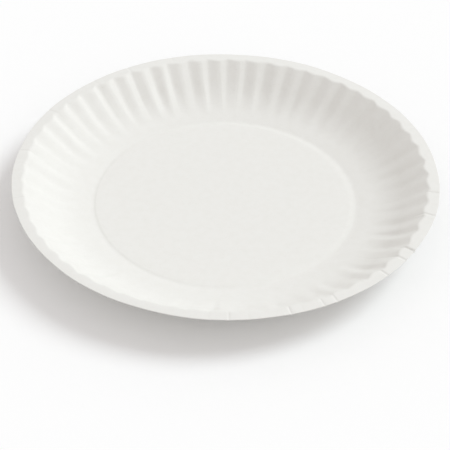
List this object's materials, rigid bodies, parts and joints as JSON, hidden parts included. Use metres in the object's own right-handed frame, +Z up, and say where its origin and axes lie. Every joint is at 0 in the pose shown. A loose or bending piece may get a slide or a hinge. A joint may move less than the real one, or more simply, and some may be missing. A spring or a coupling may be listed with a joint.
{
  "type": "paper plate",
  "caption": "Round disposable plate pressed from one disc of uncoated white board, with a flat floor, a crease ring to stand on, a fluted wall and a narrow rim.",
  "frame": {"origin": "centre of the plate on the surface that it stands on", "axes": "+Z up, out of the plate's open face; +Y points to within a degree of the bottom of a flute"},
  "size_m": [0.2286, 0.2286, 0.0202],
  "materials": {
    "board": "uncoated, matt"
  },
  "bodies": {
    "root": {"plate": "board"}
  },
  "joints": []
}
